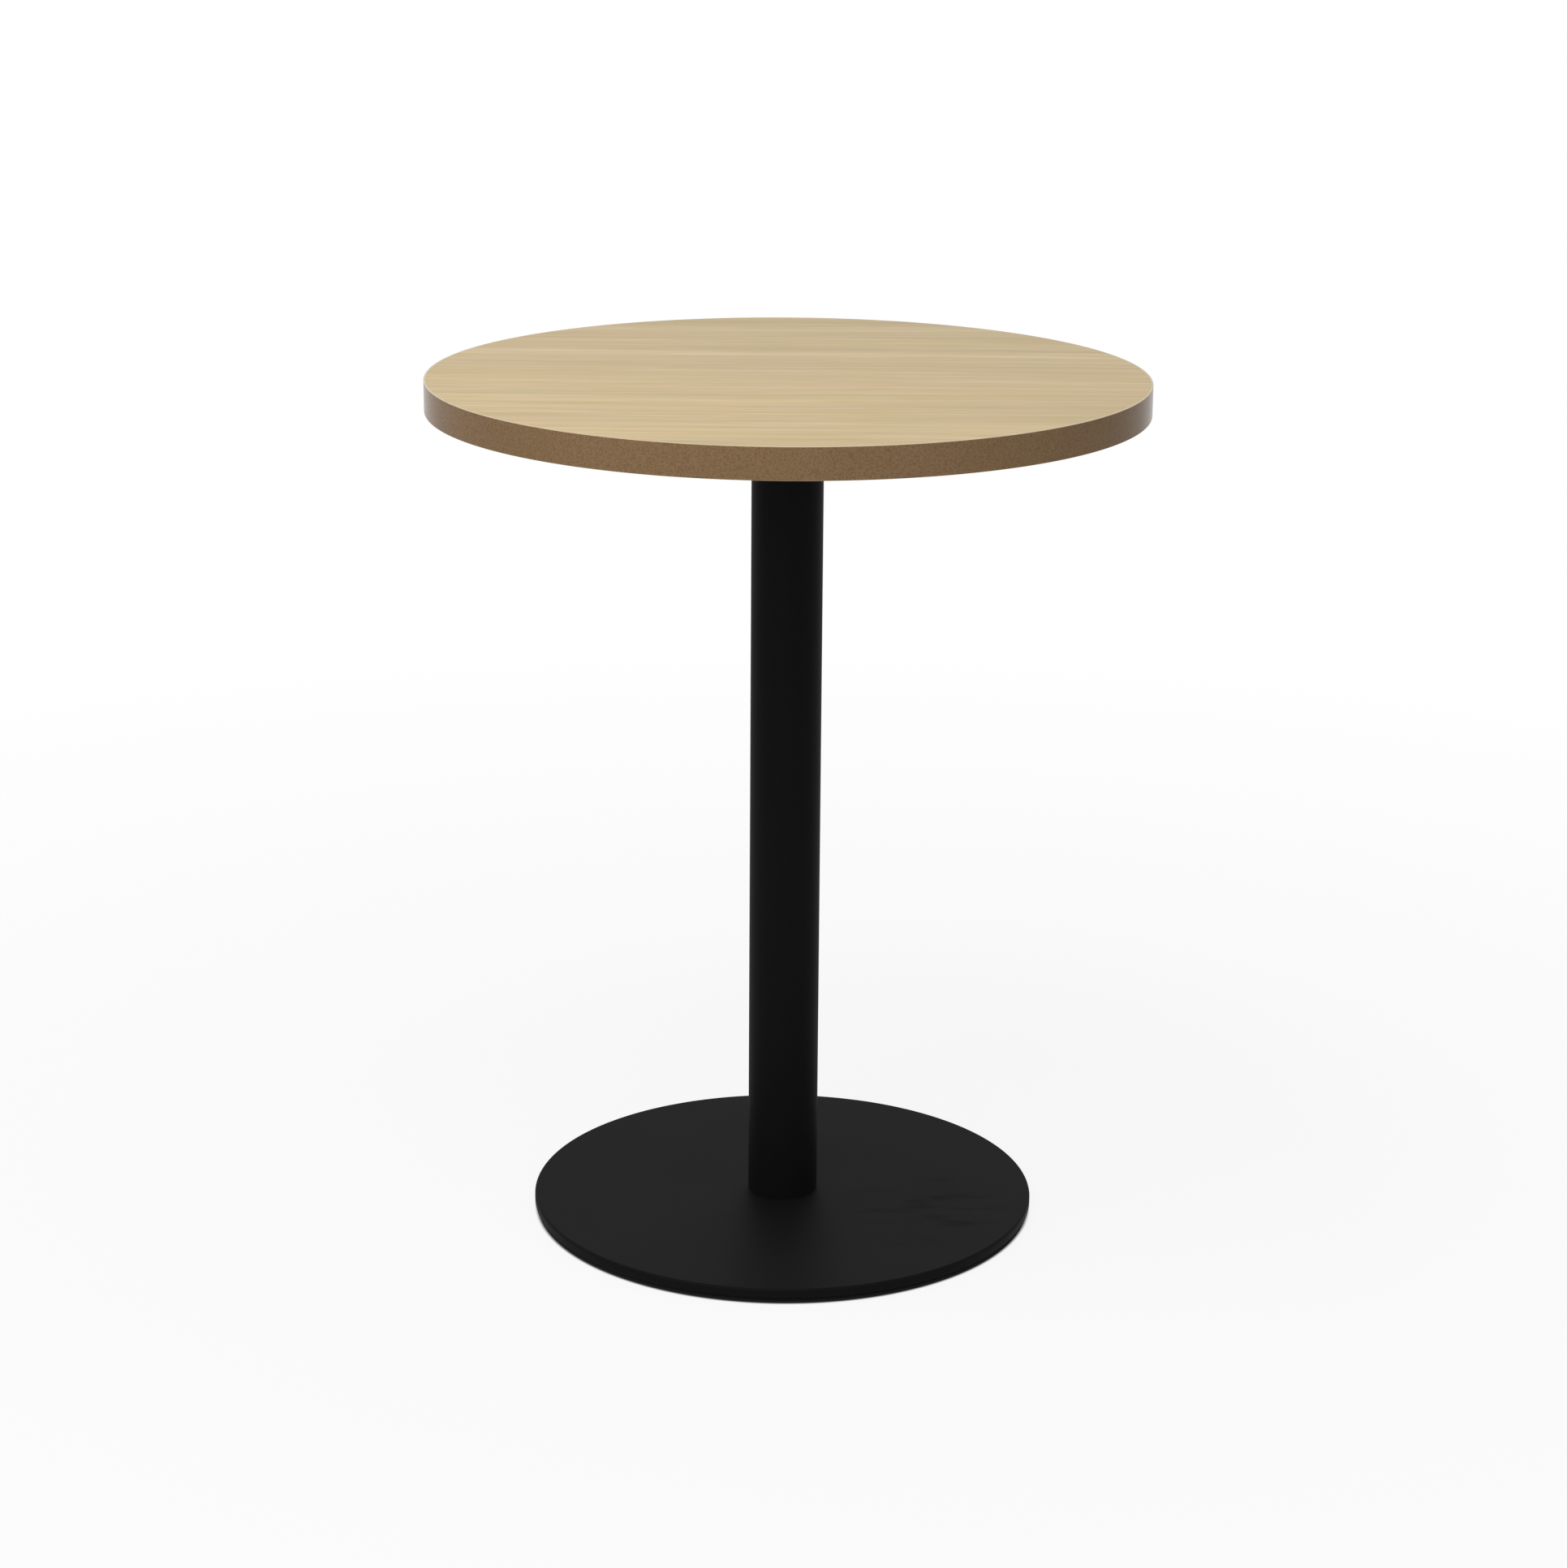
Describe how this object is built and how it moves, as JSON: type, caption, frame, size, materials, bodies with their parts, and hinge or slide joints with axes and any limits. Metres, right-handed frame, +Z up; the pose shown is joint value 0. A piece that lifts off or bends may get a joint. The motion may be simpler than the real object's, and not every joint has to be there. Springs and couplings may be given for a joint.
{
  "type": "round pedestal table",
  "caption": "Round cafe table with an oak-faced disc top on a slim black steel column and a flat round steel base.",
  "frame": {"origin": "on the floor under the column's axis, which is the bottom centre of the table's box", "axes": "+Z up, -Y towards the front of the table, +X to the right of someone facing it from the front; the grain of the top runs along X"},
  "size_m": [0.6, 0.6, 0.735],
  "materials": {
    "oak_laminate": "satin",
    "oak_edge_band": "satin",
    "chipboard": "matte",
    "backing_sheet": "matte",
    "black_powder_coat": "satin",
    "zinc_plated_steel": "satin",
    "zinc_alloy": "matte",
    "bare_steel": "satin",
    "black_oxide_steel": "satin",
    "black_nylon": "matte"
  },
  "bodies": {
    "table": {"tabletop_core": "chipboard", "tabletop_laminate": "oak_laminate", "underside_backer": "backing_sheet", "edge_band": "oak_edge_band", "top_mounting_plate": "black_powder_coat", "head_weld": "black_powder_coat", "top_screws": "zinc_plated_steel", "top_washers": "zinc_plated_steel", "insert_nuts": "zinc_alloy", "column_tube": "black_powder_coat", "column_foot_plug": "bare_steel", "foot_weld": "bare_steel", "column_screws": "black_oxide_steel", "base_disc": "black_powder_coat"},
    "glide_cap_front_left": {"glide_cap_front_left": "black_nylon"},
    "glide_stud_front_left": {"glide_stud_front_left": "zinc_plated_steel"},
    "glide_cap_front_right": {"glide_cap_front_right": "black_nylon"},
    "glide_stud_front_right": {"glide_stud_front_right": "zinc_plated_steel"},
    "glide_cap_back_left": {"glide_cap_back_left": "black_nylon"},
    "glide_stud_back_left": {"glide_stud_back_left": "zinc_plated_steel"},
    "glide_cap_back_right": {"glide_cap_back_right": "black_nylon"},
    "glide_stud_back_right": {"glide_stud_back_right": "zinc_plated_steel"}
  },
  "joints": [
    {"name": "glide_travel_front_left", "type": "slide", "parent": "table", "child": "glide_cap_front_left", "axis": [0, 0, -1], "range_m": [0, 0.003]},
    {"name": "glide_turn_front_left", "type": "hinge", "parent": "glide_cap_front_left", "child": "glide_stud_front_left", "pos_m": [-0.13294, -0.13294, 0.0028], "axis": [0, 0, -1], "range_deg": [0, 1080]},
    {"name": "glide_travel_front_right", "type": "slide", "parent": "table", "child": "glide_cap_front_right", "axis": [0, 0, -1], "range_m": [0, 0.003]},
    {"name": "glide_turn_front_right", "type": "hinge", "parent": "glide_cap_front_right", "child": "glide_stud_front_right", "pos_m": [0.13294, -0.13294, 0.0028], "axis": [0, 0, -1], "range_deg": [0, 1080]},
    {"name": "glide_travel_back_left", "type": "slide", "parent": "table", "child": "glide_cap_back_left", "axis": [0, 0, -1], "range_m": [0, 0.003]},
    {"name": "glide_turn_back_left", "type": "hinge", "parent": "glide_cap_back_left", "child": "glide_stud_back_left", "pos_m": [-0.13294, 0.13294, 0.0028], "axis": [0, 0, -1], "range_deg": [0, 1080]},
    {"name": "glide_travel_back_right", "type": "slide", "parent": "table", "child": "glide_cap_back_right", "axis": [0, 0, -1], "range_m": [0, 0.003]},
    {"name": "glide_turn_back_right", "type": "hinge", "parent": "glide_cap_back_right", "child": "glide_stud_back_right", "pos_m": [0.13294, 0.13294, 0.0028], "axis": [0, 0, -1], "range_deg": [0, 1080]}
  ],
  "couplings": [
    {"joint": "glide_turn_front_left", "follows": "glide_travel_front_left", "rad_per_m": 6283.2},
    {"joint": "glide_turn_front_right", "follows": "glide_travel_front_right", "rad_per_m": 6283.2},
    {"joint": "glide_turn_back_left", "follows": "glide_travel_back_left", "rad_per_m": 6283.2},
    {"joint": "glide_turn_back_right", "follows": "glide_travel_back_right", "rad_per_m": 6283.2}
  ]
}
